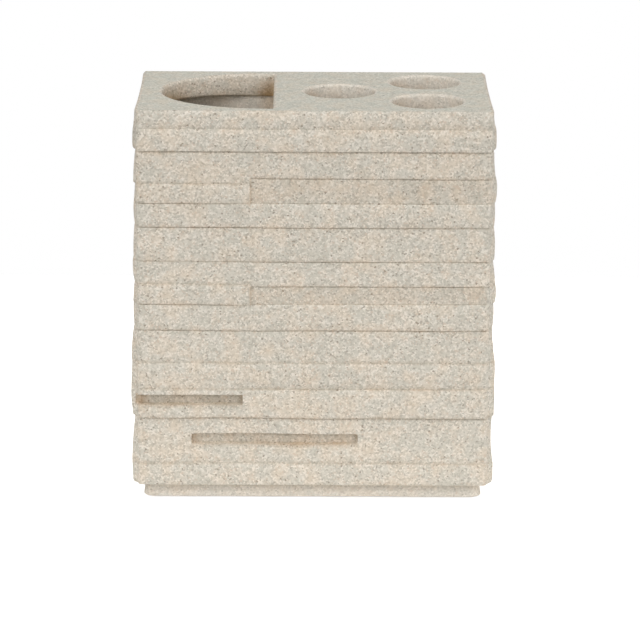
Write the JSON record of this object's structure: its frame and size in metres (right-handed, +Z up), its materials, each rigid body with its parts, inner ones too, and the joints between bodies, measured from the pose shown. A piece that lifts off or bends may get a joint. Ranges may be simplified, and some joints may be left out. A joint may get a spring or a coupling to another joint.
{
  "type": "toothbrush holder",
  "caption": "Upright stone-effect toothbrush holder of uneven courses: hollow shell on a recessed plinth, lift-off cover with a half-oval tube opening and round brush holes.",
  "frame": {"origin": "on the table, under the middle of the holder's plan", "axes": "+Z up, front face towards -Y, +X to the right when looking at the front; the tube opening is on the -X side"},
  "size_m": [0.1142, 0.0658, 0.1252],
  "materials": {
    "sand_resin": "matte",
    "sealant": "satin",
    "foot_pad": "matte"
  },
  "bodies": {
    "holder": {"body_shell": "sand_resin", "divider_panel": "sand_resin", "base_plinth": "sand_resin", "base_seal": "sealant", "foot_pad_front_left": "foot_pad", "foot_pad_front_right": "foot_pad", "foot_pad_rear_left": "foot_pad", "foot_pad_rear_right": "foot_pad"},
    "cover": {"top_cover": "sand_resin"}
  },
  "joints": [
    {"name": "cover_lift", "type": "slide", "parent": "holder", "child": "cover", "axis": [0, 0, 1], "range_m": [0, 0.04]}
  ]
}
